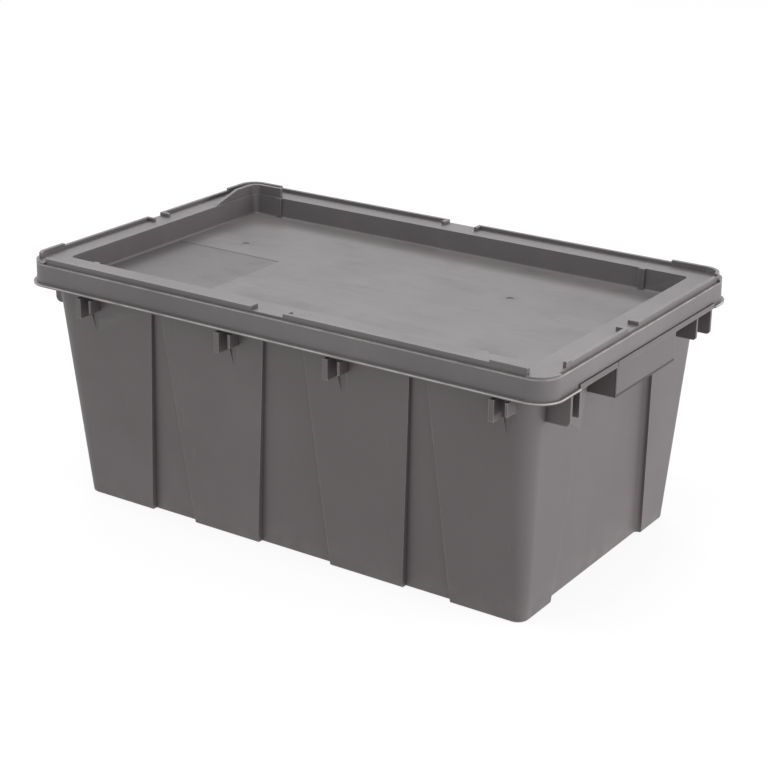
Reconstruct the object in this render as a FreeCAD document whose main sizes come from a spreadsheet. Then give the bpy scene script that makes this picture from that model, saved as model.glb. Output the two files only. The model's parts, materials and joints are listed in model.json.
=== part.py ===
"""Stack-and-nest storage tote with a separate lid that presses on and lifts straight off.

Both pieces are injection mouldings.  Millimetres, +Z up, X along the long side, Y along the
short side.  The origin is the middle of the tote's base, on the surface it stands on.
"""

import FreeCAD, Part
import os

import Sketcher

OUT = "parts"

# Driving dimensions: alias, value, what it is.
SIZES = [
    # Tote shell
    ("base_length", 442.0, "outside length of the base"),
    ("base_width", 247.0, "outside width of the base"),
    ("wall_height", 193.0, "height of the sloping walls, up to the underside of the rim"),
    ("end_lean", 12.0, "how far each end wall leans out over its height"),
    ("side_lean", 23.0, "how far each long wall leans out over its height"),
    ("base_corner", 10.0, "outside corner radius at the base"),
    ("top_corner", 20.0, "outside corner radius under the rim"),
    ("foot_round", 2.0, "rounding of the base's outside edge"),
    ("wall", 2.6, "wall thickness"),
    ("floor_depth", 3.0, "floor thickness"),
    # Rim of the tote
    ("rim_overhang", 15.4, "rim's reach beyond the end walls"),
    ("rim_side_overhang", 4.9, "rim's reach beyond the long walls"),
    ("rim_corner", 16.0, "outside corner radius of the rim"),
    ("rim_wall", 2.4, "thickness of the rim's flange and upright lip"),
    ("lip_height", 20.5, "height of the rim from its underside to its top edge"),
    ("band_reach", 4.6, "how far the end bands stand out from the lip"),
    ("band_height", 4.2, "height of the end bands"),
    ("band_front_setback", 43.0, "distance from the rim's front to the end of an end band"),
    ("band_rear_setback", 28.0, "distance from the rim's rear to the end of an end band"),
    # Panels pressed into the walls
    ("side_recess_foot", 5.6, "depth of the long-wall recesses at the base"),
    ("side_recess_head", 3.2, "depth of the long-wall recesses under the rim"),
    ("end_recess_depth", 5.6, "depth of the end-wall recess"),
    ("end_recess_foot_width", 158.0, "width of the end-wall recess at the base"),
    ("end_recess_head_width", 111.0, "width of the end-wall recess under the rim"),
    ("end_recess_round", 3.5, "rounding along the foot of the end-wall recess's sides"),
    # Ribs under the rim of the long walls
    ("rib_reach", 10.8, "how far the long-wall ribs stand out beyond the wall's top"),
    ("rib_thick", 4.6, "thickness of the broad rib of a pair"),
    ("rib_thin", 2.0, "thickness of the thin rib of a pair"),
    ("rib_gap", 9.2, "clear gap between the two ribs of a pair"),
    ("rib_drop", 17.0, "how far the broad rib hangs below the rim"),
    ("thin_rib_drop", 11.0, "how far the thin rib hangs below the rim"),
    ("groove_depth", 1.2, "depth of the groove between two ribs"),
    ("groove_width", 8.0, "width of that groove"),
    ("groove_tip", 2.5, "width of the groove where it runs out"),
    ("groove_run", 14.0, "length of the groove below the broad rib"),
    ("outer_rib_setback", 39.0, "from the end of the wall's top to the first rib pair"),
    ("corner_rib_setback", 28.5, "from the end of the wall's top to the last rib pair"),
    # Grip and ribs at the ends
    ("grip_width", 102.0, "width of the grip plate"),
    ("grip_middle", 1.7, "middle of the grip plate along Y"),
    ("grip_drop", 22.6, "how far the grip plate hangs below the rim"),
    ("grip_wall", 2.6, "thickness of the grip plate and its webs"),
    ("grip_inset", 1.0, "grip plate's face behind the end band's face"),
    ("end_rib_wall", 2.6, "thickness of an end rib"),
    # Lid
    ("lid_clearance", 0.6, "gap between the rim and the inside of the lid's skirt"),
    ("skirt_wall", 2.4, "thickness of the lid's skirt"),
    ("skirt_draft", 0.4, "how far the skirt leans in over its height"),
    ("skirt_gap", 0.4, "gap between the rim's end band and the skirt above it"),
    ("skirt_hem", 18.2, "depth of the skirt inside, below the lid's top plate"),
    ("bead_reach", 2.6, "how far the bead stands out at the skirt's lower edge"),
    ("bead_height", 2.0, "height of that bead"),
    ("lid_plate", 2.5, "thickness of the lid's top plate"),
    ("step_drop", 2.0, "outer step below the lid's top face"),
    ("tray_clearance", 2.0, "gap between the tray and the tote's end walls"),
    ("tray_side_gap", 13.0, "gap between the tray and the tote's long walls"),
    ("tray_depth", 18.8, "depth of the tray below the lid's top face"),
    ("tray_corner", 5.0, "inside corner radius of the tray"),
    ("tray_draft", 1.0, "how far the tray's walls lean out over their depth"),
    ("tray_round", 2.0, "rounding of the tray's inside bottom edge"),
    ("tray_rib_width", 5.5, "width of the small ribs on the tray's long walls"),
    ("tray_rib_reach", 1.4, "how far those ribs stand out"),
    ("tray_rib_left_setback", 26.5, "from the tray's left end to the nearer ribs"),
    ("tray_rib_right_setback", 39.5, "from the tray's right end to the nearer ribs"),
    ("ridge_wall", 3.0, "thickness of the stacking ridge round the lid's edge"),
    ("ridge_height", 3.0, "height of the ridge above the lid's top face"),
    ("corner_ridge_height", 4.8, "height of the ridge at the corners"),
    ("corner_ridge_long", 48.0, "length of the high ridge from a right corner, long side"),
    ("rear_left_ridge_long", 38.0, "length of the high ridge from the rear left corner"),
    ("corner_ridge_short", 38.0, "length of the high ridge from a corner, short side"),
    ("front_left_ridge_start", 6.0, "from the ridge's front to where it starts, left corner"),
    ("front_right_ridge_start", 28.0, "from the ridge's front to where it starts, right corner"),
    ("ridge_post", 8.0, "length of the high post at that right start"),
    ("corner_wall_height", 8.6, "height of the wall at the tray's rear left corner"),
    ("corner_wall_long", 29.0, "length of that wall along the long side"),
    ("corner_wall_short", 58.0, "length of that wall along the short side"),
    ("corner_wall_ramp", 33.0, "length of the ramp at the short side's end"),
    ("corner_wall_setback", 1.4, "ledge between the tray's edge and that wall"),
    ("hook_reach", 6.5, "how far the ridge's ends turn inwards"),
    ("hook_height", 3.0, "height of those turned ends"),
    ("label_length", 112.0, "length of the sunk label panel in the tray"),
    ("label_width", 98.0, "width of that panel"),
    ("label_middle_x", -167.0, "middle of the panel along X"),
    ("label_middle_y", -36.0, "middle of the panel along Y"),
    ("label_depth", 0.3, "depth of the panel"),
    ("gate_radius", 3.2, "radius of the dimples over the mould's gates"),
    ("gate_depth", 0.6, "depth of the dimples"),
    ("side_break", 31.0, "opening in the ridge at the middle of a long side"),
    ("end_break", 17.0, "opening in the ridge at the middle of a short side"),
]

# Recesses of a long wall: name, and where each starts and ends along X at the base and
# under the rim.  They are wider at the base, so that empty totes nest.
SIDE_RECESSES = [
    ("left", -148.0, -100.0, -122.0, -112.0),
    ("middle", -33.0, 41.0, -8.0, 31.0),
    ("right", 111.0, 156.0, 129.0, 144.5),
]

# Rib pairs on the inner panels of a long wall: name and start along X.
INNER_RIBS = [("left", -48.0), ("right", 57.5)]

# Dimples over the gates: name and place in the tray.
GATES = [("left", -169.0, 40.0), ("right", 106.0, 42.0)]

# Ribs of an end: name, outer face along Y, drop below the rim, rounding of the lower corner.
END_RIBS = [
    ("front_outer", -120.4, 23.2, 4.5),
    ("front_inner", -107.2, 20.0, 1.5),
    ("rear_inner", 94.4, 17.0, 2.5),
    ("rear_outer", 121.3, 19.5, 3.0),
]

# Openings in the lid's ridge: name and middle along the side that each is in.
BREAKS = [("front", 0.0), ("rear", -6.0), ("right", -17.0), ("left", 7.0)]

doc = FreeCAD.newDocument("StorageTote")

sheet = doc.addObject("Spreadsheet::Sheet", "Sizes")
row = 1


def size_row(alias, value, meaning):
    """Write one driving dimension as a row of the sheet."""
    global row
    sheet.set(f"A{row}", alias)
    sheet.set(f"B{row}", str(value))
    sheet.set(f"C{row}", meaning)
    sheet.setAlias(f"B{row}", alias)
    row += 1


for size in SIZES:
    size_row(*size)
for recess_name, *edges in SIDE_RECESSES:
    places = ("foot_start", "foot_end", "head_start", "head_end")
    for place, value in zip(places, edges):
        size_row(f"{recess_name}_recess_{place}", value, f"{place} of the {recess_name} recess")
for rib_name, start in INNER_RIBS:
    size_row(f"{rib_name}_rib_start", start, f"start of the {rib_name} inner rib pair")
for gate_name, x, y in GATES:
    size_row(f"{gate_name}_gate_x", x, f"place of the {gate_name} gate along X")
    size_row(f"{gate_name}_gate_y", y, f"place of the {gate_name} gate along Y")
for rib_name, face, drop, rounding in END_RIBS:
    size_row(f"{rib_name}_end_rib_face", face, f"outer face of the {rib_name} end rib along Y")
    size_row(f"{rib_name}_end_rib_drop", drop, f"how far the {rib_name} end rib hangs down")
    size_row(f"{rib_name}_end_rib_round", rounding, f"rounding of the {rib_name} end rib")
for break_name, middle in BREAKS:
    size_row(f"{break_name}_break_middle", middle, f"middle of the {break_name} opening")
doc.recompute()


def s(alias):
    """Expression for one cell of the sheet."""
    return f"Sizes.{alias}"


def end_at(height):
    """Outside half length of the tote's shell at a height."""
    return f"({s('base_length')} / 2 + {s('end_lean')} * ({height}) / {s('wall_height')})"


def side_at(height):
    """Outside half width of the tote's shell at a height."""
    return f"({s('base_width')} / 2 + {s('side_lean')} * ({height}) / {s('wall_height')})"


def lean_out(foot, head, height):
    """A value that changes evenly from the base to the top of the walls."""
    return f"({foot} + ({head} - {foot}) * ({height}) / {s('wall_height')})"


def corner_at(height):
    """Outside corner radius of the tote's shell at a height."""
    return lean_out(s("base_corner"), s("top_corner"), height)


def inside_at(height):
    """The cavity's outline (half_x, half_y, corner) at a height."""
    return [f"({outside(height)} - {s('wall')})" for outside in (end_at, side_at, corner_at)]


# ---------------------------------------------------------------- building blocks


def rounded_sketch(name, half_x, half_y, corner, height):
    """A rectangle with round corners, centred on the origin, at a height."""
    sketch = doc.addObject("Sketcher::SketchObject", name)
    up = FreeCAD.Vector(0, 0, 1)
    flat_x, flat_y, radius = 100.0, 60.0, 10.0
    quarter = 3.141592653589793 / 2
    corners = [(flat_x, flat_y), (-flat_x, flat_y), (-flat_x, -flat_y), (flat_x, -flat_y)]
    for turn, (x, y) in enumerate(corners):
        circle = Part.Circle(FreeCAD.Vector(x, y, 0), up, radius)
        arc = Part.ArcOfCircle(circle, turn * quarter, (turn + 1) * quarter)
        sketch.addGeometry(arc, False)
    ends = [
        ((flat_x, flat_y + radius), (-flat_x, flat_y + radius)),
        ((-flat_x - radius, flat_y), (-flat_x - radius, -flat_y)),
        ((-flat_x, -flat_y - radius), (flat_x, -flat_y - radius)),
        ((flat_x + radius, -flat_y), (flat_x + radius, flat_y)),
    ]
    for (x0, y0), (x1, y1) in ends:
        line = Part.LineSegment(FreeCAD.Vector(x0, y0, 0), FreeCAD.Vector(x1, y1, 0))
        sketch.addGeometry(line, False)
    start, end, centre = 1, 2, 3
    for arc in range(4):
        line_after = 4 + arc
        sketch.addConstraint(Sketcher.Constraint("Tangent", arc, end, line_after, start))
        sketch.addConstraint(Sketcher.Constraint("Tangent", line_after, end, (arc + 1) % 4, start))
    for line in (4, 6):
        sketch.addConstraint(Sketcher.Constraint("Horizontal", line))
    for line in (5, 7):
        sketch.addConstraint(Sketcher.Constraint("Vertical", line))
    for arc in (1, 2, 3):
        sketch.addConstraint(Sketcher.Constraint("Equal", 0, arc))
    sketch.addConstraint(Sketcher.Constraint("Symmetric", 0, centre, 2, centre, -1, 1))
    rules = [
        (Sketcher.Constraint("Radius", 0, radius), corner),
        (Sketcher.Constraint("DistanceX", -1, 1, 0, centre, flat_x), f"{half_x} - ({corner})"),
        (Sketcher.Constraint("DistanceY", -1, 1, 0, centre, flat_y), f"{half_y} - ({corner})"),
    ]
    for rule, expression in rules:
        index = sketch.addConstraint(rule)
        sketch.setExpression(f"Constraints[{index}]", expression)
    sketch.setExpression("Placement.Base.z", height)
    return sketch


def rounded_taper(name, low, high, bottom, top):
    """A block with round corners, from one (half_x, half_y, corner) to another."""
    loft = doc.addObject("Part::Loft", name)
    loft.Sections = [
        rounded_sketch(f"{name}_low", *bottom, low),
        rounded_sketch(f"{name}_high", *top, high),
    ]
    loft.Solid = True
    loft.Ruled = True
    return loft


def rounded_prism(name, low, high, outline):
    """A block with round corners and upright sides."""
    prism = doc.addObject("Part::Extrusion", name)
    prism.Base = rounded_sketch(f"{name}_outline", *outline, low)
    prism.DirMode = "Custom"
    prism.Dir = FreeCAD.Vector(0, 0, 1)
    prism.Solid = True
    prism.setExpression("LengthFwd", f"{high} - ({low})")
    return prism


def block(name, low, high, bottom, top=None):
    """A block whose rectangle (x0, x1, y0, y1) may change from bottom to top."""
    wedge = doc.addObject("Part::Wedge", name)
    wedge.Placement.Rotation = FreeCAD.Rotation(FreeCAD.Vector(1, 0, 0), 90)
    top = top or bottom
    values = {
        "Ymin": low,
        "Ymax": high,
        "Xmin": bottom[0],
        "Xmax": bottom[1],
        "Zmin": f"-({bottom[3]})",
        "Zmax": f"-({bottom[2]})",
        "X2min": top[0],
        "X2max": top[1],
        "Z2min": f"-({top[3]})",
        "Z2max": f"-({top[2]})",
    }
    for property_name, expression in values.items():
        wedge.setExpression(property_name, expression)
    return wedge


def fuse(name, shapes):
    """One solid from several."""
    joined = doc.addObject("Part::MultiFuse", name)
    joined.Shapes = shapes
    joined.Refine = True
    return joined


def cut(name, base, tool):
    """The base with the tool taken away."""
    left = doc.addObject("Part::Cut", name)
    left.Base = base
    left.Tool = tool
    left.Refine = True
    return left


def common(name, shapes):
    """What several solids share."""
    shared = doc.addObject("Part::MultiCommon", name)
    shared.Shapes = shapes
    return shared


def rounded_edges(name, base, radius, chosen):
    """The base with every edge that chosen() picks rounded by a size of the sheet."""
    doc.recompute()
    fillet = doc.addObject("Part::Fillet", name)
    fillet.Base = base
    size = float(sheet.get(radius))
    picked = [n for n, edge in enumerate(base.Shape.Edges, 1) if chosen(edge.BoundBox)]
    fillet.Edges = [(n, size, size) for n in picked]
    return fillet


def mirrored(name, source, normal):
    """The source's mirror image across a plane through the origin."""
    image = doc.addObject("Part::Mirroring", name)
    image.Source = source
    image.Normal = normal
    return image


ACROSS_X = FreeCAD.Vector(1, 0, 0)
ACROSS_Y = FreeCAD.Vector(0, 1, 0)
NEAR = 0.01  # tolerance when an edge is picked by its height

# ---------------------------------------------------------------- heights and outlines

RIM_LOW = s("wall_height")
FLANGE_TOP = f"({RIM_LOW} + {s('rim_wall')})"
RIM_TOP = f"({RIM_LOW} + {s('lip_height')})"
RIM_HALF_X = f"({end_at(RIM_LOW)} + {s('rim_overhang')})"
RIM_HALF_Y = f"({side_at(RIM_LOW)} + {s('rim_side_overhang')})"
BAND_TOP = f"({FLANGE_TOP} + {s('band_height')})"
BAND_FACE = f"({RIM_HALF_X} + {s('band_reach')})"
BAND_FRONT = f"(-{RIM_HALF_Y} + {s('band_front_setback')})"
BAND_REAR = f"({RIM_HALF_Y} - {s('band_rear_setback')})"
SKIRT_LOW = f"({RIM_TOP} - {s('skirt_hem')})"
LID_TOP = f"({RIM_TOP} + {s('lid_plate')})"
TRAY_FLOOR = f"({LID_TOP} - {s('tray_depth')})"
TRAY_LOW = f"({TRAY_FLOOR} - {s('lid_plate')})"
PANEL_TOP_INSIDE = f"min({RIM_LOW}; {TRAY_LOW} - {s('lid_clearance')})"
PANEL_TOP = f"({PANEL_TOP_INSIDE} - {s('wall')})"


# ---------------------------------------------------------------- tote body


def side_recess(name, grow):
    """One recess of the front wall; grow offsets it for the matching face inside."""
    foot_face = f"-({side_at('0')} - {s('side_recess_foot')} - {grow})"
    head_face = f"-({side_at(RIM_LOW)} - {s('side_recess_head')} - {grow})"
    outside = f"-({RIM_HALF_Y} + {s('rim_overhang')})"
    foot = (
        f"{s(name + '_recess_foot_start')} - {grow}",
        f"{s(name + '_recess_foot_end')} + {grow}",
        outside,
        foot_face,
    )
    head = (
        f"{s(name + '_recess_head_start')} - {grow}",
        f"{s(name + '_recess_head_end')} + {grow}",
        outside,
        head_face,
    )
    if grow == "0":
        return block(f"{name}_recess", "0", PANEL_TOP, foot, head)
    return block(f"{name}_recess_inside", "0", PANEL_TOP_INSIDE, foot, head)


def end_recess(grow):
    """The recess of the right end wall."""
    outside = f"({RIM_HALF_X} + {s('rim_overhang')})"
    foot_half = f"({s('end_recess_foot_width')} / 2 + {grow})"
    head_half = f"({s('end_recess_head_width')} / 2 + {grow})"
    foot_face = f"({end_at('0')} - {s('end_recess_depth')} - {grow})"
    head_face = f"({end_at(RIM_LOW)} - {s('end_recess_depth')} - {grow})"
    foot = (foot_face, outside, f"-{foot_half}", foot_half)
    head = (head_face, outside, f"-{head_half}", head_half)
    if grow != "0":
        return block("end_recess_inside", "0", PANEL_TOP_INSIDE, foot, head)
    recess = block("end_recess", "0", PANEL_TOP, foot, head)
    doc.recompute()
    bounds = recess.Shape.BoundBox
    return rounded_edges(
        "end_recess_rounded",
        recess,
        "end_recess_round",
        lambda box: box.ZLength > bounds.ZLength - NEAR and box.XMax < bounds.XMax - NEAR,
    )


def both_sides(shapes, plane):
    """Each shape and its mirror image."""
    images = [mirrored(f"{shape.Name}_opposite", shape, plane) for shape in shapes]
    return shapes + images


def wall_recesses(grow):
    """All recesses of the four walls."""
    sides = [side_recess(name, grow) for name, *_ in SIDE_RECESSES]
    return both_sides(sides, ACROSS_Y) + both_sides([end_recess(grow)], ACROSS_X)


def rib_pair(name, start):
    """A broad and a thin rib under the rim of the front wall."""
    outside = f"-({side_at(RIM_LOW)} + {s('rib_reach')})"
    inside = f"-({side_at('0')} - {s('side_recess_foot')})"
    broad_end = f"({start} + {s('rib_thick')})"
    thin_start = f"({broad_end} + {s('rib_gap')})"
    thin_end = f"({thin_start} + {s('rib_thin')})"
    broad_low = f"({RIM_LOW} - {s('rib_drop')})"
    thin_low = f"({RIM_LOW} - {s('thin_rib_drop')})"
    return [
        block(f"{name}_broad_rib", broad_low, RIM_LOW, (start, broad_end, outside, inside)),
        block(f"{name}_thin_rib", thin_low, RIM_LOW, (thin_start, thin_end, outside, inside)),
    ]


def rib_groove(name, start):
    """The shallow groove between two ribs, which runs out to a tip below them."""
    outside = f"-({side_at(RIM_LOW)} + {s('rib_reach')})"
    middle = f"({start} + {s('rib_thick')} + {s('rib_gap')} / 2)"
    knee = f"({RIM_LOW} - {s('rib_drop')})"
    tip = f"({knee} - {s('groove_run')})"

    def section(height, width, depth):
        half = f"{width} / 2"
        face = f"-({side_at(height)} - {depth})"
        return (f"{middle} - {half}", f"{middle} + {half}", outside, face)

    tip_section = section(tip, s("groove_tip"), "0")
    knee_section = section(knee, s("groove_width"), s("groove_depth"))
    head_section = section(RIM_LOW, s("groove_width"), s("groove_depth"))
    return [
        block(f"{name}_groove_tip", tip, knee, tip_section, knee_section),
        block(f"{name}_groove", knee, RIM_LOW, knee_section, head_section),
    ]


def end_rib(name, face, inside, outside):
    """A plate across the gap between the right end wall and the rim's edge."""
    outer = s(f"{name}_end_rib_face")
    inner = f"({outer} - {s('end_rib_wall')} * {1 if face > 0 else -1})"
    low = f"({RIM_LOW} - {s(f'{name}_end_rib_drop')})"
    top = f"({SKIRT_LOW} - {s('lid_clearance')})"
    start, end = (inner, outer) if face > 0 else (outer, inner)
    plate = block(f"{name}_end_rib", low, top, (inside, outside, start, end))
    doc.recompute()
    bounds = plate.Shape.BoundBox
    return rounded_edges(
        f"{name}_end_rib_rounded",
        plate,
        f"{name}_end_rib_round",
        lambda box: box.XMin > bounds.XMax - NEAR and box.ZMax < bounds.ZMin + NEAR,
    )


def end_fittings():
    """Grip, its webs, the band above it and the ribs of the right end."""
    face = f"({BAND_FACE} - {s('grip_inset')})"
    back = f"({face} - {s('grip_wall')})"
    low = f"({RIM_LOW} - {s('grip_drop')})"
    front = f"({s('grip_middle')} - {s('grip_width')} / 2)"
    rear = f"({s('grip_middle')} + {s('grip_width')} / 2)"
    wall_inside = f"({end_at('0')} - {s('end_recess_depth')})"
    lip_inside = f"({RIM_HALF_X} - {s('rim_wall')})"
    band = (lip_inside, BAND_FACE, BAND_FRONT, BAND_REAR)
    front_web = (wall_inside, face, front, f"{front} + {s('grip_wall')}")
    rear_web = (wall_inside, face, f"{rear} - {s('grip_wall')}", rear)
    shapes = [
        block("end_band", FLANGE_TOP, BAND_TOP, band),
        block("grip_plate", low, FLANGE_TOP, (back, face, front, rear)),
        block("front_web", low, FLANGE_TOP, front_web),
        block("rear_web", low, FLANGE_TOP, rear_web),
    ]
    for name, place, *_ in END_RIBS:
        shapes.append(end_rib(name, place, wall_inside, face))
    return shapes


def make_tote_body():
    """The open tote: tapering shell, pressed panels, rim, ribs and grips."""
    wall = s("wall")
    foot = (end_at("0"), side_at("0"), s("base_corner"))
    head = (end_at(RIM_LOW), side_at(RIM_LOW), s("top_corner"))
    shell = rounded_taper("shell", "0", RIM_LOW, foot, head)
    shell = rounded_edges("shell_foot", shell, "foot_round", lambda box: box.ZMax < NEAR)
    starts = [(name, s(f"{name}_rib_start")) for name, _ in INNER_RIBS]
    starts.append(("first", f"(-{end_at(RIM_LOW)} + {s('outer_rib_setback')})"))
    starts.append(("last", f"({end_at(RIM_LOW)} - {s('corner_rib_setback')})"))
    ribs = []
    grooves = []
    for name, start in starts:
        ribs += rib_pair(name, start)
        grooves += rib_groove(name, start)
    pressed = fuse("pressed_in", wall_recesses("0") + both_sides(grooves, ACROSS_Y))
    shell = cut("shell_pressed", shell, pressed)

    rim = rounded_prism("rim", RIM_LOW, RIM_TOP, (RIM_HALF_X, RIM_HALF_Y, s("rim_corner")))
    inset = [f"({half} - {s('rim_wall')})" for half in (RIM_HALF_X, RIM_HALF_Y, s("rim_corner"))]
    channel = rounded_prism("rim_channel", FLANGE_TOP, f"{RIM_TOP} + 1", inset)

    fittings = both_sides(ribs, ACROSS_Y) + both_sides(end_fittings(), ACROSS_X)
    outside = cut("tote_outside", fuse("tote_mass", [shell, rim] + fittings), channel)

    floor_z = s("floor_depth")
    hollow = rounded_taper("hollow", floor_z, FLANGE_TOP, inside_at(floor_z), inside_at(FLANGE_TOP))
    hollow = cut("cavity", hollow, fuse("inner_recesses", wall_recesses(wall)))
    return cut("tote_body", outside, hollow)


# ---------------------------------------------------------------- lid

PLATE_LOW = RIM_TOP
STEP = f"({LID_TOP} - {s('step_drop')})"
SKIRT_IN_X = f"({RIM_HALF_X} + {s('lid_clearance')})"
SKIRT_IN_Y = f"({RIM_HALF_Y} + {s('lid_clearance')})"
SKIRT_IN_CORNER = f"({s('rim_corner')} + {s('lid_clearance')})"
RIDGE_OUT = (RIM_HALF_X, RIM_HALF_Y, s("rim_corner"))
FAR_X = f"({RIM_HALF_X} + {s('rim_overhang')})"
FAR_Y = f"({RIM_HALF_Y} + {s('rim_overhang')})"
RIDGE_CLEAR = f"({LID_TOP} + {s('corner_wall_height')} + {s('corner_ridge_height')})"


def grown(outline, amount):
    """An outline (half_x, half_y, corner) offset outwards."""
    return [f"({value} + ({amount}))" for value in outline]


TRAY_OUT = (
    f"({end_at(RIM_LOW)} - {s('wall')} - {s('tray_clearance')})",
    f"({side_at(RIM_LOW)} - {s('wall')} - {s('tray_side_gap')})",
    f"({s('tray_corner')} + {s('lid_plate')})",
)
TRAY_IN = grown(TRAY_OUT, f"-{s('lid_plate')}")


def make_cover():
    """Skirt with its bead and the plate on top, hollow below, before the tray is sunk."""
    inside = (SKIRT_IN_X, SKIRT_IN_Y, SKIRT_IN_CORNER)
    skirt_foot = grown(inside, s("skirt_wall"))
    skirt_head = grown(skirt_foot, f"-{s('skirt_draft')}")
    skirt = rounded_taper("skirt", SKIRT_LOW, STEP, skirt_foot, skirt_head)
    bead_top = f"({SKIRT_LOW} + {s('bead_height')})"
    bead = rounded_prism("bead", SKIRT_LOW, bead_top, grown(skirt_foot, s("bead_reach")))
    plateau = rounded_prism("plateau", PLATE_LOW, LID_TOP, RIDGE_OUT)
    pads = rounded_prism("corner_pads", STEP, LID_TOP, skirt_head)
    pads = cut("corner_pads_apart", pads, fuse("pad_breaks", ring_gaps("pad", "0")))

    gap_low = f"({SKIRT_LOW} - 1)"
    gap_high = f"({BAND_TOP} + {s('skirt_gap')})"
    gap_front = f"({BAND_FRONT} - {s('skirt_gap')})"
    gap_rear = f"({BAND_REAR} + {s('skirt_gap')})"
    gap_in = f"({RIM_HALF_X} - {s('rim_wall')})"
    gap_out = f"({BAND_FACE} + {s('rim_overhang')})"
    end_gap = block("skirt_gap", gap_low, gap_high, (gap_in, gap_out, gap_front, gap_rear))
    under = rounded_prism("skirt_inside", gap_low, PLATE_LOW, inside)
    tools = fuse("skirt_tools", [under] + both_sides([end_gap], ACROSS_X))
    return cut("cover", fuse("cover_mass", [skirt, bead, plateau, pads]), tools)


def make_tray_hollow():
    """What the tray takes out of the lid: tapering, with a rounded bottom edge and marks."""
    bottom = grown(TRAY_IN, f"-{s('tray_draft')}")
    hollow = rounded_taper("tray_inside", TRAY_FLOOR, LID_TOP, bottom, TRAY_IN)
    doc.recompute()
    floor_z = hollow.Shape.BoundBox.ZMin
    hollow = rounded_edges(
        "tray_inside_rounded", hollow, "tray_round", lambda box: box.ZMax < floor_z + NEAR
    )
    half_length = f"{s('label_length')} / 2"
    half_width = f"{s('label_width')} / 2"
    label = (
        f"{s('label_middle_x')} - {half_length}",
        f"{s('label_middle_x')} + {half_length}",
        f"{s('label_middle_y')} - {half_width}",
        f"{s('label_middle_y')} + {half_width}",
    )
    marks = [block("label_panel", f"{TRAY_FLOOR} - {s('label_depth')}", LID_TOP, label)]
    for gate_name, *_ in GATES:
        dimple = doc.addObject("Part::Cylinder", f"{gate_name}_gate")
        dimple.setExpression("Radius", s("gate_radius"))
        dimple.setExpression("Height", f"{s('tray_depth')} + {s('gate_depth')}")
        dimple.setExpression("Placement.Base.x", s(f"{gate_name}_gate_x"))
        dimple.setExpression("Placement.Base.y", s(f"{gate_name}_gate_y"))
        dimple.setExpression("Placement.Base.z", f"{TRAY_FLOOR} - {s('gate_depth')}")
        marks.append(dimple)
    return fuse("tray_tools", [hollow] + marks)


def ridge_ring(name, height, outline, wall):
    """A closed ridge on the lid's top face, inside an outline."""
    top = f"({LID_TOP} + {height})"
    ring = rounded_prism(f"{name}_outer", LID_TOP, top, outline)
    hole = rounded_prism(f"{name}_inner", LID_TOP, top, grown(outline, f"-{wall}"))
    return cut(name, ring, hole)


def ring_gaps(name, corner_reach):
    """Two blocks that leave only the corners of a ring, each with some reach past its arc."""
    half_x = f"({RIM_HALF_X} - {s('rim_corner')} - {corner_reach})"
    half_y = f"({RIM_HALF_Y} - {s('rim_corner')} - {corner_reach})"
    across = (f"-{half_x}", half_x, f"-{FAR_Y}", FAR_Y)
    along = (f"-{FAR_X}", FAR_X, f"-{half_y}", half_y)
    return [
        block(f"{name}_side_gap", STEP, RIDGE_CLEAR, across),
        block(f"{name}_end_gap", STEP, RIDGE_CLEAR, along),
    ]


def ridge_break(name):
    """One opening in the ridge, and the two ends of the ridge that turn inwards beside it."""
    along_x = name in ("front", "rear")
    width = s("side_break") if along_x else s("end_break")
    rim, far = (RIM_HALF_Y, FAR_Y) if along_x else (RIM_HALF_X, FAR_X)
    middle = s(f"{name}_break_middle")
    start = f"({middle} - {width} / 2)"
    end = f"({middle} + {width} / 2)"
    hook_inside = f"({rim} - {s('ridge_wall')} - {s('hook_reach')})"
    hook_top = f"({LID_TOP} + {s('hook_height')})"

    def piece(part, top, first, last, inside, outside):
        if name in ("front", "left"):
            inside, outside = f"-({outside})", f"-({inside})"
        if along_x:
            return block(f"{name}_{part}", LID_TOP, top, (first, last, inside, outside))
        return block(f"{name}_{part}", LID_TOP, top, (inside, outside, first, last))

    before = f"({start} - {s('ridge_wall')})"
    after = f"({end} + {s('ridge_wall')})"
    opening = piece("break", RIDGE_CLEAR, start, end, "0", far)
    hooks = [
        piece("first_hook", hook_top, before, start, hook_inside, rim),
        piece("second_hook", hook_top, end, after, hook_inside, rim),
    ]
    return opening, hooks


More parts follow.
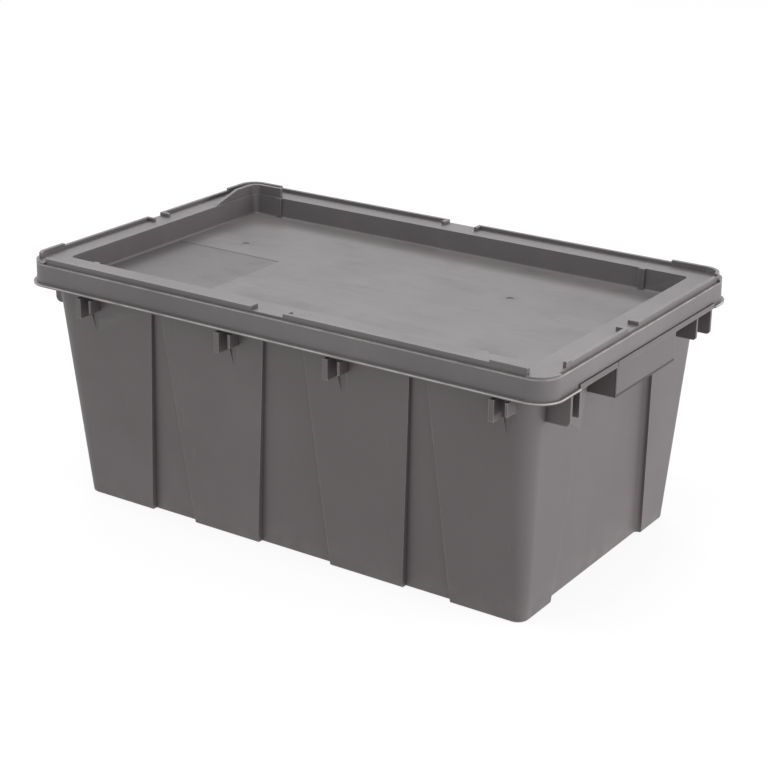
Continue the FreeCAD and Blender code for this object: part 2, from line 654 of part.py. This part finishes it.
def make_ridges():
    """The stacking ridge: low along the sides, high by the corners, open in four places."""
    low = ridge_ring("low_ridge", s("ridge_height"), RIDGE_OUT, s("ridge_wall"))
    arc_x = f"({RIM_HALF_X} - {s('rim_corner')})"
    left_start = f"({RIM_HALF_Y} - {s('front_left_ridge_start')})"
    right_start = f"({RIM_HALF_Y} - {s('front_right_ridge_start')})"
    post_end = f"({right_start} - {s('ridge_post')})"
    left_corner = (f"-{FAR_X}", f"-{arc_x}", f"-{FAR_Y}", f"-{left_start}")
    right_corner = (arc_x, FAR_X, f"-{FAR_Y}", f"-{right_start}")
    openings = [
        block("front_left_open", LID_TOP, RIDGE_CLEAR, left_corner),
        block("front_right_open", LID_TOP, RIDGE_CLEAR, right_corner),
    ]
    hooks = []
    for break_name, _ in BREAKS:
        opening, ends = ridge_break(break_name)
        openings.append(opening)
        hooks += ends
    low = cut("low_ridge_open", low, fuse("ridge_openings", openings))

    high = ridge_ring("high_ridge", s("corner_ridge_height"), RIDGE_OUT, s("ridge_wall"))
    long_x = f"({RIM_HALF_X} - {s('corner_ridge_long')})"
    rear_left_x = f"({RIM_HALF_X} - {s('rear_left_ridge_long')})"
    short_y = f"({RIM_HALF_Y} - {s('corner_ridge_short')})"
    rear_y = f"({RIM_HALF_Y} - {s('rim_corner')})"
    stretches = {
        "high_front_right": (long_x, arc_x, f"-{FAR_Y}", f"-{rear_y}"),
        "high_right_post": (arc_x, FAR_X, f"-{right_start}", f"-{post_end}"),
        "high_rear_right": (long_x, FAR_X, rear_y, FAR_Y),
        "high_rear_left": (f"-{FAR_X}", f"-{rear_left_x}", short_y, FAR_Y),
        "high_front_left": (f"-{FAR_X}", f"-{arc_x}", f"-{left_start}", f"-{short_y}"),
    }
    blocks = [block(name, LID_TOP, RIDGE_CLEAR, outline) for name, outline in stretches.items()]
    high = common("high_ridge_parts", [high, fuse("high_stretches", blocks)])
    return [low, high] + hooks


def make_corner_wall():
    """The taller wall round the tray's rear left corner, with one end ramped down."""
    outline = grown(TRAY_IN, f"({s('ridge_wall')} + {s('corner_wall_setback')})")
    ring = ridge_ring("corner_wall_ring", s("corner_wall_height"), outline, s("ridge_wall"))
    top = f"({LID_TOP} + {s('corner_wall_height')})"
    tray_x, tray_y, _ = TRAY_IN
    long_end = f"-({tray_x} - {s('corner_wall_long')})"
    short_end = f"({tray_y} - {s('corner_wall_short')})"
    ramp_end = f"({short_end} + {s('corner_wall_ramp')})"
    keep = (f"-{FAR_X}", long_end, short_end, FAR_Y)
    keep_top = (f"-{FAR_X}", long_end, ramp_end, FAR_Y)
    return common("corner_wall", [ring, block("corner_wall_keep", LID_TOP, top, keep, keep_top)])


def make_tray_ribs():
    """Four small upright ribs on the tray's long walls."""
    tray_x, tray_y, _ = TRAY_IN
    face = f"({tray_y} - {s('tray_rib_reach')} - {s('tray_draft')})"
    left = f"(-{tray_x} + {s('tray_rib_left_setback')})"
    right = f"({tray_x} - {s('tray_rib_right_setback')})"
    places = {
        "left_tray_rib": (left, f"{left} + {s('tray_rib_width')}"),
        "right_tray_rib": (f"{right} - {s('tray_rib_width')}", right),
    }
    ribs = [
        block(name, TRAY_FLOOR, LID_TOP, (start, end, face, f"({tray_y} + {s('lid_plate')} / 2)"))
        for name, (start, end) in places.items()
    ]
    return both_sides(ribs, ACROSS_Y)


def make_lid():
    """The lid: skirt with a bead, top plate with a sunk tray, and the stacking ridges."""
    tray = rounded_prism("tray", TRAY_LOW, LID_TOP, TRAY_OUT)
    mass = fuse("lid_mass", [make_cover(), tray])
    sunk = cut("lid_sunk", mass, make_tray_hollow())
    extras = make_ridges() + [make_corner_wall()] + make_tray_ribs()
    return fuse("lid", [sunk] + extras)


nodes = [make_tote_body(), make_lid()]
for node in nodes:
    node.Label = node.Name
doc.recompute()

for item in doc.Objects:
    if "Invalid" in item.State or "Error" in item.State:
        raise RuntimeError(f"{item.Name} failed: {item.State}")
os.makedirs(OUT, exist_ok=True)
for node in nodes:
    shape = node.Shape
    if shape.isNull() or not shape.isValid():
        raise RuntimeError(f"{node.Label} has no valid shape")
    if len(shape.Solids) != 1:
        raise RuntimeError(f"{node.Label} is {len(shape.Solids)} solids")
    shape.exportStep(os.path.join(OUT, f"{node.Label}.step"))
    box = shape.BoundBox
    print(
        f"{node.Label}: {box.XLength:.1f} x {box.YLength:.1f} x {box.ZLength:.1f} mm,"
        f" z {box.ZMin:.1f} to {box.ZMax:.1f}, volume {shape.Volume / 1000:.0f} cm3"
    )
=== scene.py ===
import json
import math

import bpy
from mathutils import Matrix, Vector


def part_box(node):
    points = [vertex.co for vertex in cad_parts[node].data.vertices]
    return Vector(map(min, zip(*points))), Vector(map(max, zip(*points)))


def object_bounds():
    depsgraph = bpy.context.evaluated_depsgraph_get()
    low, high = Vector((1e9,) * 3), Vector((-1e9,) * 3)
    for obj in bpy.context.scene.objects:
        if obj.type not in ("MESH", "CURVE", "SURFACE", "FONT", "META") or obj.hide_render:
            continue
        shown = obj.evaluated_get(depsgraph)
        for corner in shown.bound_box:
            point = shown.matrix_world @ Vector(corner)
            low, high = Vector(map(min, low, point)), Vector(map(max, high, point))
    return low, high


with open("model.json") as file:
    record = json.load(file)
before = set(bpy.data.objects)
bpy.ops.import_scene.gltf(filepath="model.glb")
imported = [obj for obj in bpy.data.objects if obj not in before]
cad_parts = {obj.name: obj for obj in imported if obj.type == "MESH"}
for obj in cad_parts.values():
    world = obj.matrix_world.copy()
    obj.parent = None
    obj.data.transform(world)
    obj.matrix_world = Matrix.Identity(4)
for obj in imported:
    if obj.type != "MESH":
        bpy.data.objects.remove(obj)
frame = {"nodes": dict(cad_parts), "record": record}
cad_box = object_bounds()


# ------------------------------------------------------------------ tote body
# The open tote is one injection moulding in warm dark grey polyethylene.  Its tool is
# spark-eroded to a fine matte grain, and its edges leave the tool with a small radius.
# Walls that slide in and out of racks carry faint upright rub marks and a dusty foot.


class Socket:
    """A shader socket that can stand in Python expressions."""

    def __init__(self, tree, socket=None):
        self.tree = tree
        self.socket = socket

    def make(self, kind, settings=None, inputs=None, output=0):
        """A node of any kind: settings first, then the values or links of its sockets."""
        node = self.tree.nodes.new(kind)
        for name, value in (settings or {}).items():
            if name == "stops":
                ramp = node.color_ramp
                while len(ramp.elements) < len(value):
                    ramp.elements.new(1.0)
                for element, (place, grey) in zip(ramp.elements, value):
                    element.position = place
                    element.color = (grey, grey, grey, 1.0)
            else:
                setattr(node, name, value)
        for name, value in (inputs or {}).items():
            if isinstance(value, Socket):
                self.tree.links.new(value.socket, node.inputs[name])
            else:
                node.inputs[name].default_value = value
        return Socket(self.tree, node.outputs[output])

    def finish(self, shader):
        """The material's surface."""
        output = self.tree.nodes.new("ShaderNodeOutputMaterial")
        self.tree.links.new(shader.socket, output.inputs["Surface"])

    def math(self, operation, *values):
        """A Math node on values."""
        return self.make("ShaderNodeMath", {"operation": operation}, dict(enumerate(values)))

    def __add__(self, other):
        return self.math("ADD", self, other)

    def __radd__(self, other):
        return self.math("ADD", other, self)

    def __sub__(self, other):
        return self.math("SUBTRACT", self, other)

    def __rsub__(self, other):
        return self.math("SUBTRACT", other, self)

    def __mul__(self, other):
        return self.math("MULTIPLY", self, other)

    def __rmul__(self, other):
        return self.math("MULTIPLY", other, self)

    def __gt__(self, other):
        return self.math("GREATER_THAN", self, other)

    def __lt__(self, other):
        return self.math("LESS_THAN", self, other)

    def axis(self, name):
        """One axis of a vector."""
        return self.make("ShaderNodeSeparateXYZ", {}, {0: self}, "XYZ".index(name))

    def scaled(self, x, y, z):
        """A vector with its axes stretched."""
        return self.make("ShaderNodeVectorMath", {"operation": "MULTIPLY"}, {0: self, 1: (x, y, z)})

    def noise(self, scale, detail=2.0, roughness=0.5):
        """Fractal noise at this place, about 0 to 1."""
        values = {"Vector": self, "Scale": scale, "Detail": detail, "Roughness": roughness}
        return self.make("ShaderNodeTexNoise", {}, values)

    def ramp(self, *stops):
        """A value taken through (place, level) stops."""
        return self.make("ShaderNodeValToRGB", {"stops": stops}, {0: self})

    def smooth(self, low, high):
        """0 below low, 1 above high, and an even curve between."""
        values = {"Value": self, "From Min": low, "From Max": high}
        return self.make("ShaderNodeMapRange", {"interpolation_type": "SMOOTHSTEP"}, values)

    def tint(self, other, amount):
        """This colour mixed towards another by an amount."""
        settings = {"data_type": "RGBA"}
        return self.make("ShaderNodeMix", settings, {0: amount, 6: self, 7: other}, 2)


def colour(tree, value):
    """A plain colour as a socket, the start of a mix."""
    same = {0: 0.0, 6: value, 7: value}
    return Socket(tree).make("ShaderNodeMix", {"data_type": "RGBA"}, same, 2)


def between(value, low, high, soft):
    """1 where a value lies between two limits, with soft edges."""
    return value.smooth(low - soft, low + soft) * (1.0 - value.smooth(high - soft, high + soft))


def new_material(name):
    """An empty material and a socket to start from."""
    material = bpy.data.materials.new(name)
    material.use_nodes = True
    material.node_tree.nodes.clear()
    return material, Socket(material.node_tree)


CORNER_SAMPLES = 6


def corners(start, reach, standing_out):
    """Rises from 0 on open faces to 1 at the piece's own corners, within a short reach."""
    settings = {"inside": standing_out, "only_local": True, "samples": CORNER_SAMPLES}
    return 1.0 - start.make("ShaderNodeAmbientOcclusion", settings, {"Distance": reach}, 1)


POLYETHYLENE_IOR = 1.5


def moulded_plastic(start, base, roughness, relief):
    """Polyethylene: the finished shader from its colour, roughness and relief in metres."""
    heights = {"Strength": 1.0, "Distance": 1.0, "Height": relief}
    surface = {
        "Base Color": base,
        "Roughness": roughness,
        "Normal": start.make("ShaderNodeBump", {}, heights),
        "Specular IOR Level": 0.5,
        "IOR": POLYETHYLENE_IOR,
    }
    start.finish(start.make("ShaderNodeBsdfPrincipled", {}, surface))


TOTE_GREY = (0.087, 0.0765, 0.0785, 1.0)
TOTE_DARK = (0.073, 0.0640, 0.0655, 1.0)
DUST = (0.30, 0.285, 0.27, 1.0)
# The pale of edges lightened for wear and of the painted highlights along them.
WORN_AND_HIGHLIT = (0.26, 0.245, 0.24, 1.0)
# The dark grey of painted shade: in creases, under the lid's bead and along the grip plate.
PAINTED_SHADE_GREY = (0.016, 0.014, 0.014, 1.0)

# Relief, wear with painted highlights, painted shade and dust, in metres.  Noise scales are per
# metre.
GRAIN_SCALE = 1900.0
GRAIN_HEIGHT = 0.00002
FLOW_HEIGHT = 0.00006
WEAR_AND_HIGHLIGHT_REACH = 0.0013
WEAR_AND_HIGHLIGHT_STOPS = ((0.22, 0.0), (0.55, 1.0))
CREASE_SHADE_REACH = 0.004
DUST_RISE = 0.03

# How much of each mark shows in the wall's colour.
RUB_SHOWS = 0.10
DUST_SHOWS = 0.10
WORN_AND_HIGHLIT_SHOWS = 0.48
CREASE_SHADE_SHOWS = 0.45
GRIP_SHADOW_SHOWS = 0.95

# The grip plate's outer face, with a painted shadow line along two of its edges.
tote_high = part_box("tote_body")[1]
GRIP_FACE = tote_high.x - 0.0022  # beyond this along X lies only the plate's face
GRIP_FOOT = tote_high.z - 0.0431
GRIP_MIDDLE = 0.0017
GRIP_HALF = 0.0510
GRIP_LOW_Y = GRIP_MIDDLE - GRIP_HALF
GRIP_HIGH_Y = GRIP_MIDDLE + GRIP_HALF
GRIP_LINE = 0.0021
GRIP_FRONT_LINE = 0.7 * GRIP_LINE
GRIP_SOFT = 0.0003


def tote_material():
    """Matte grey wall plastic with flow clouds, upright rubs, edges lightened for wear and painted
    highlights, painted shade in creases and along the grip plate, and dust at the foot.
    """
    material, start = new_material("tote_grained_plastic")
    place = start.make("ShaderNodeTexCoord", {}, {}, "Object")
    tree = start.tree
    height = place.axis("Z")
    along = place.axis("Y")

    # Flow clouds, upright rubs where the tote slides into a rack, and dust at the foot.
    clouds = place.noise(9.0, 4.0, 0.55)
    broad = place.scaled(3.0, 3.0, 1.4).noise(2.0, 2.0)
    rubs = place.scaled(260.0, 260.0, 5.0).noise(1.0, 3.0, 0.6).ramp((0.60, 0.0), (0.78, 1.0))
    rubbed = rubs * place.noise(14.0, 2.0).ramp((0.46, 0.0), (0.64, 1.0))
    dust_clouds = place.noise(60.0, 4.0).ramp((0.40, 0.0), (0.75, 1.0))
    foot_dust = (1.0 - height.smooth(0.0, DUST_RISE)) * dust_clouds

    # Outer corners lightened for wear and painted highlights, in patches, and painted shade in the
    # inner corners.
    patches = place.noise(46.0, 3.0, 0.6).ramp((0.36, 0.35), (0.62, 1.0))
    worn_and_highlit = corners(start, WEAR_AND_HIGHLIGHT_REACH, True).ramp(*WEAR_AND_HIGHLIGHT_STOPS) * patches
    crease_shade = corners(start, CREASE_SHADE_REACH, False).ramp((0.30, 0.0), (0.62, 1.0))

    # A painted shadow line along the grip plate's lower and front edges.
    low_line = height < GRIP_FOOT + GRIP_LINE
    front_line = along < GRIP_LOW_Y + GRIP_FRONT_LINE
    grip = between(along, GRIP_LOW_Y, GRIP_HIGH_Y, GRIP_SOFT)
    grip = grip * (start.math("ABSOLUTE", place.axis("X")) > GRIP_FACE)
    grip = grip * (height > GRIP_FOOT - GRIP_LINE)
    grip_shadow = grip * start.math("MAXIMUM", low_line, front_line)

    dark = colour(tree, TOTE_DARK)
    painted_shade = colour(tree, PAINTED_SHADE_GREY)
    base = colour(tree, TOTE_GREY).tint(dark, clouds.ramp((0.35, 0.0), (0.65, 1.0)))
    base = base.tint(dark, broad.ramp((0.40, 0.0), (0.62, 0.6)))
    base = base.tint(colour(tree, DUST), rubbed * RUB_SHOWS + foot_dust * DUST_SHOWS)
    # Outer corners lightened for wear and with painted highlights.
    base = base.tint(colour(tree, WORN_AND_HIGHLIT), worn_and_highlit * WORN_AND_HIGHLIT_SHOWS)
    # Painted shade in the inner corners.
    base = base.tint(painted_shade, crease_shade * CREASE_SHADE_SHOWS)
    # A painted shadow line along the grip plate's lower and front edges.
    base = base.tint(painted_shade, grip_shadow * GRIP_SHADOW_SHOWS)
    roughness = 0.42 + clouds * 0.10 + rubbed * 0.08 + crease_shade * 0.15
    grain = place.noise(GRAIN_SCALE, 2.0, 0.6) * GRAIN_HEIGHT
    relief = grain + place.noise(22.0, 2.0) * FLOW_HEIGHT
    moulded_plastic(start, base, roughness, relief)
    return material


EDGE_RADIUS = 0.0007
EDGE_SEGMENTS = 3
SHARP_ANGLE = math.radians(32)
JOIN_WITHIN = 0.000005


def soften_edges(node):
    """Join the faces and give every sharp edge the small radius that the tool leaves."""
    weld = node.modifiers.new("joined", "WELD")
    weld.merge_threshold = JOIN_WITHIN
    bevel = node.modifiers.new("tool_radius", "BEVEL")
    bevel.width = EDGE_RADIUS
    bevel.segments = EDGE_SEGMENTS
    bevel.limit_method = "ANGLE"
    bevel.angle_limit = SHARP_ANGLE
    bevel.use_clamp_overlap = True


tote = frame["nodes"]["tote_body"]
tote.material_slots[0].material = tote_material()
soften_edges(tote)


# ------------------------------------------------------------------ lid
# The lid is the second moulding, in the same polyethylene.  Its skirt presses over the rim.
# The tray is sunk so that another tote's base sits in it, and a smooth panel in the grain
# takes a label.

lid = frame["nodes"]["lid"]
lid_low, lid_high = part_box("lid")
LID_GREY = (0.091, 0.0830, 0.0855, 1.0)
LID_DARK = (0.076, 0.0690, 0.0710, 1.0)
LABEL_GREY = (0.064, 0.0580, 0.0595, 1.0)
TRAY_WORN = (0.17, 0.16, 0.16, 1.0)
# The pale of the painted highlights on the skirt's bead and step.
HEM_HIGHLIGHT = (0.42, 0.40, 0.39, 1.0)

# The tray's floor and what lies in it: the label panel and the marks over the mould's gates.
mounts = {mount["name"]: mount for mount in frame["record"]["mounts"]}
TRAY_FLOOR = mounts["lid_tray_floor"]["pos_m"][2] + 0.0002  # just above the floor
TRAY_CREASE_SHADE = (TRAY_FLOOR + 0.0011, TRAY_FLOOR + 0.0036)  # painted shade in the corners fades in between
LABEL_X = (-0.223, -0.111)
LABEL_Y = (-0.085, 0.013)
LABEL_SOFT = 0.0002
GATE_PLACES = [(-0.169, 0.040), (0.106, 0.042)]
GATE_STAIN = 0.011
GATE_CORE = 0.4  # the share of the stain's radius that is fully dark
FILM_Y = (0.060, 0.112)  # a chalky film dries along the tray's rear wall
FILM_RAGGED = 0.012

# The skirt's outline at its top edge, and the bands of height of its two edges with painted
# highlights.
SKIRT_CORNER = 0.019
SKIRT_HALF_X = lid_high.x - 0.0030
SKIRT_HALF_Y = lid_high.y - 0.0030
SKIRT_EDGE = 0.0010
BEAD_EDGE = (lid_low.z + 0.0013, lid_low.z + 0.0024)
STEP_EDGE = (lid_high.z - 0.0115, lid_high.z - 0.0103)
# The reach of the painted shade in the lid's inner corners.
LID_CREASE_SHADE_REACH = 0.0022

# How much of each mark shows in the lid's colour.
STREAKS_SHOW = 0.16
SPOTS_SHOW = 0.15
FILM_SHOWS = 0.60
SMEARS_SHOW = 0.55
STAINS_SHOW = 1.2
SCUFFS_SHOW = 0.05
LABEL_SHOWS = 0.8
LID_WORN_AND_HIGHLIT_SHOWS = 0.50
BEAD_HIGHLIGHT_SHOWS = 0.75
STEP_HIGHLIGHT_SHOWS = 0.38
UNDER_BEAD_SHADOW_SHOWS = 0.35
LID_CREASE_SHADE_SHOWS = 0.50


def round_stain(start, place, middle, radius):
    """1 at a place in the tray, fading to 0 at a radius."""
    x = place.axis("X") - middle[0]
    y = place.axis("Y") - middle[1]
    return 1.0 - start.math("SQRT", x * x + y * y).smooth(radius * GATE_CORE, radius)


def skirt_outside(start, place):
    """1 on the skirt's outside and its bead, all the way round, and 0 within them."""
    out_x = start.math("ABSOLUTE", place.axis("X")) - (SKIRT_HALF_X - SKIRT_CORNER)
    out_y = start.math("ABSOLUTE", place.axis("Y")) - (SKIRT_HALF_Y - SKIRT_CORNER)
    out_x = start.math("MAXIMUM", out_x, 0.0)
    out_y = start.math("MAXIMUM", out_y, 0.0)
    return start.math("SQRT", out_x * out_x + out_y * out_y) > SKIRT_CORNER - SKIRT_EDGE


def lid_material():
    """Matte grey lid plastic with a smoother, darker label panel and streaks in the tray."""
    material, start = new_material("lid_grained_plastic")
    place = start.make("ShaderNodeTexCoord", {}, {}, "Object")
    tree = start.tree
    height = place.axis("Z")
    along = place.axis("Y")

    # The tray: its label panel, long streaks, smears and spots, and the dried film.
    in_tray = height < TRAY_FLOOR
    label = between(place.axis("X"), *LABEL_X, LABEL_SOFT) * in_tray
    label = label * between(along, *LABEL_Y, LABEL_SOFT)
    streaks = place.scaled(12.0, 150.0, 40.0).noise(1.0, 4.0, 0.6).ramp((0.48, 0.0), (0.80, 1.0))
    smears = place.scaled(14.0, 34.0, 20.0).noise(1.0, 5.0, 0.65).ramp((0.50, 0.0), (0.70, 1.0))
    spots = place.noise(120.0, 3.0, 0.6).ramp((0.66, 0.0), (0.74, 1.0))
    film = in_tray * (along + smears * FILM_RAGGED).smooth(*FILM_Y)

    # All over: clouds, scuffs, outer corners lightened for wear and painted highlights in patches,
    # and painted shade in the inner corners.
    clouds = place.noise(11.0, 5.0, 0.6)
    broad = place.scaled(3.0, 6.0, 1.0).noise(2.0, 3.0, 0.55)
    scuffs = place.noise(38.0, 5.0, 0.7).ramp((0.52, 0.0), (0.74, 1.0))
    patches = place.noise(46.0, 3.0, 0.6).ramp((0.36, 0.45), (0.62, 1.0))
    worn_and_highlit = corners(start, WEAR_AND_HIGHLIGHT_REACH, True).ramp(*WEAR_AND_HIGHLIGHT_STOPS) * patches
    crease_shade = corners(start, LID_CREASE_SHADE_REACH, False).ramp((0.34, 0.0), (0.66, 1.0))
    crease_shade = crease_shade * height.smooth(*TRAY_CREASE_SHADE)

    # The skirt: painted highlights on the bead's and the step's edges, and a painted shadow on its
    # face below the bead.
    outside = skirt_outside(start, place)
    bead_highlight = outside * (height > BEAD_EDGE[0]) * (height < BEAD_EDGE[1])
    step_highlight = outside * (height > STEP_EDGE[0]) * (height < STEP_EDGE[1])
    under_bead_shadow = outside * (height < BEAD_EDGE[0])

    dark = colour(tree, LID_DARK)
    pale = colour(tree, TRAY_WORN)
    label_grey = colour(tree, LABEL_GREY)
    painted_shade = colour(tree, PAINTED_SHADE_GREY)
    base = colour(tree, LID_GREY).tint(dark, clouds.ramp((0.35, 0.0), (0.68, 0.8)))
    base = base.tint(pale, broad.ramp((0.42, 0.0), (0.66, 0.12)))
    base = base.tint(pale, in_tray * (streaks * STREAKS_SHOW + spots * SPOTS_SHOW))
    base = base.tint(pale, film * FILM_SHOWS)
    base = base.tint(dark, in_tray * smears * SMEARS_SHOW)
    for gate in GATE_PLACES:
        stain = round_stain(start, place, gate, GATE_STAIN) * in_tray
        base = base.tint(label_grey, stain * place.noise(170.0, 3.0) * STAINS_SHOW)
    base = base.tint(colour(tree, DUST), scuffs * SCUFFS_SHOW)
    base = base.tint(label_grey, label * LABEL_SHOWS)
    # Outer corners lightened for wear and with painted highlights.
    base = base.tint(colour(tree, WORN_AND_HIGHLIT), worn_and_highlit * LID_WORN_AND_HIGHLIT_SHOWS)
    # Painted highlights along the bead's and the step's edges.
    lines = (bead_highlight * BEAD_HIGHLIGHT_SHOWS + step_highlight * STEP_HIGHLIGHT_SHOWS) * patches
    base = base.tint(colour(tree, HEM_HIGHLIGHT), lines)
    # A painted shadow on the skirt below the bead.
    base = base.tint(painted_shade, under_bead_shadow * UNDER_BEAD_SHADOW_SHOWS)
    # Painted shade in the inner corners, above the tray's floor.
    base = base.tint(painted_shade, crease_shade * LID_CREASE_SHADE_SHOWS)
    roughness = 0.38 + clouds * 0.10 + scuffs * 0.06 + in_tray * smears * 0.06 + label * 0.03
    grain = (1.0 - label * 0.8) * place.noise(GRAIN_SCALE, 2.0, 0.6) * GRAIN_HEIGHT
    relief = grain + place.noise(16.0, 2.0) * FLOW_HEIGHT
    moulded_plastic(start, base, roughness, relief)
    return material


lid.material_slots[0].material = lid_material()
soften_edges(lid)


# ------------------------------------------------------------------ floor, light, camera
# A white paper floor under a white sky, with one soft box low on the right, one overhead
# and one high behind.  The camera looks down a little at a long side and one end.

FLOOR_HALF = 6.0
FLOOR_DROP = 0.0002
PAPER_SHADE = (0.12, 0.12, 0.12, 1.0)
PAPER_GLOW = 0.86
WHITE = (1.0, 1.0, 1.0, 1.0)

floor_mesh = bpy.data.meshes.new("studio_floor")
floor_corners = [(-FLOOR_HALF, -FLOOR_HALF, 0), (FLOOR_HALF, -FLOOR_HALF, 0)]
floor_corners += [(FLOOR_HALF, FLOOR_HALF, 0), (-FLOOR_HALF, FLOOR_HALF, 0)]
floor_mesh.from_pydata(floor_corners, [], [(0, 1, 2, 3)])
floor = bpy.data.objects.new("studio_floor", floor_mesh)
bpy.context.scene.collection.objects.link(floor)
floor.location.z = -FLOOR_DROP
paper, start = new_material("white_paper")
paper_surface = {
    "Base Color": PAPER_SHADE,
    "Roughness": 0.95,
    "Specular IOR Level": 0.0,
    "Emission Color": WHITE,
    "Emission Strength": PAPER_GLOW,
}
start.finish(start.make("ShaderNodeBsdfPrincipled", {}, paper_surface))
floor_mesh.materials.append(paper)

world = bpy.data.worlds.new("studio_white")
bpy.context.scene.world = world
world.use_nodes = True
sky = world.node_tree.nodes["Background"]
sky.inputs["Color"].default_value = WHITE
sky.inputs["Strength"].default_value = 1.0


def soft_light(name, place, aim, width, height, power):
    """A rectangular soft box, in metres and watts, that points at a place."""
    data = bpy.data.lights.new(name, "AREA")
    data.shape = "RECTANGLE"
    data.size = width
    data.size_y = height
    data.energy = power
    lamp = bpy.data.objects.new(name, data)
    lamp.location = place
    lamp.rotation_euler = (Vector(aim) - Vector(place)).to_track_quat("-Z", "Y").to_euler()
    bpy.context.scene.collection.objects.link(lamp)
    return lamp


middle = (cad_box[0] + cad_box[1]) / 2
right_box = soft_light("right_box", (2.2, 0.35, 0.36), middle, width=1.6, height=0.6, power=46.0)
right_box.visible_glossy = False  # so low that it would glare along the lid's top
soft_light("top_box", (-0.2, -0.65, 2.3), middle, width=1.2, height=0.8, power=21.0)
soft_light("back_box", (-1.05, 1.60, 1.45), middle, width=1.8, height=0.6, power=11.0)

bpy.context.scene.view_settings.view_transform = "Standard"

YAW = math.radians(33.63)
PITCH = math.radians(20.80)
ROLL = math.radians(0.66)
AIM = Vector((0.0, 0.0, 0.11176))
CAMERA_DISTANCE = 1.6006
CAMERA_RIGHT = 0.0078
CAMERA_DOWN = 0.00076
LENS = 87.53
SENSOR = 36.0

outward = math.cos(PITCH)
back = Vector((math.sin(YAW) * outward, -math.cos(YAW) * outward, math.sin(PITCH)))
level = Vector((math.cos(YAW), math.sin(YAW), 0.0))
upward = back.cross(level)
right = math.cos(ROLL) * level + math.sin(ROLL) * upward
above = -math.sin(ROLL) * level + math.cos(ROLL) * upward
camera_data = bpy.data.cameras.new("studio_camera")
camera_data.lens = LENS
camera_data.sensor_width = SENSOR
camera = bpy.data.objects.new("studio_camera", camera_data)
bpy.context.scene.collection.objects.link(camera)
camera_place = AIM + right * CAMERA_RIGHT - above * CAMERA_DOWN + back * CAMERA_DISTANCE
turn = Matrix((right, above, back)).transposed().to_4x4()
camera.matrix_world = Matrix.Translation(camera_place) @ turn
bpy.context.scene.camera = camera
